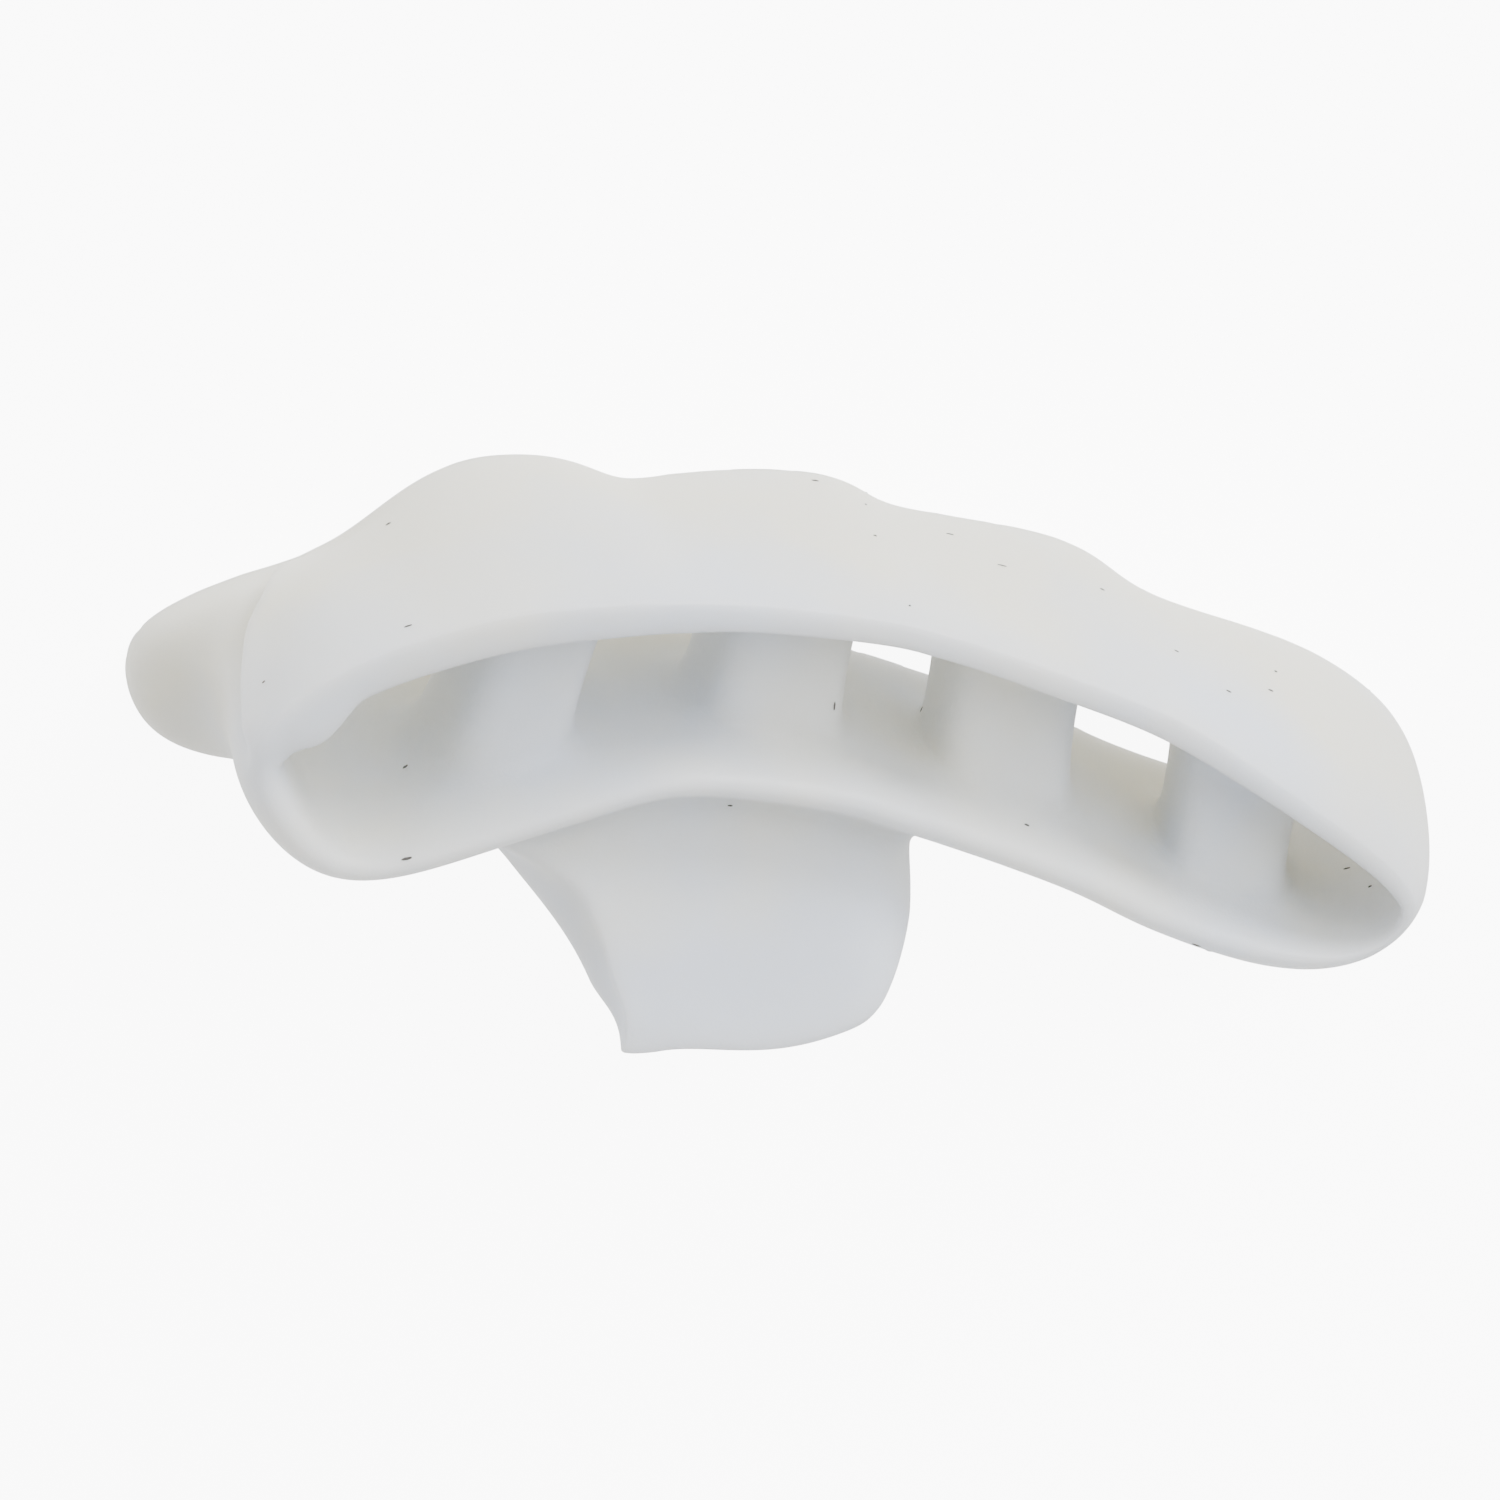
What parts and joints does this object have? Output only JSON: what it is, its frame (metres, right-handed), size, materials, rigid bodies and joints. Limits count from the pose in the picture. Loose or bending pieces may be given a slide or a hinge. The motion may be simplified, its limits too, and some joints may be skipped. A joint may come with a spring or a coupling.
{
  "type": "toe corrector",
  "caption": "Soft silicone foot band with a long slotted mouth, rounded columns that separate the toes, a wavy top and a tapering tongue under the ball of the foot.",
  "frame": {"origin": "centre of the bounding box in X and Y, on the plane of the far rim that the band lies on", "axes": "+X along the band towards the little toe, +Y towards the top of the foot, +Z the way through the toe hollows, out of the mouth"},
  "size_m": [0.0968, 0.0344, 0.0235],
  "materials": {
    "silicone": "matte"
  },
  "bodies": {
    "root": {"toe_band": "silicone"}
  },
  "joints": []
}
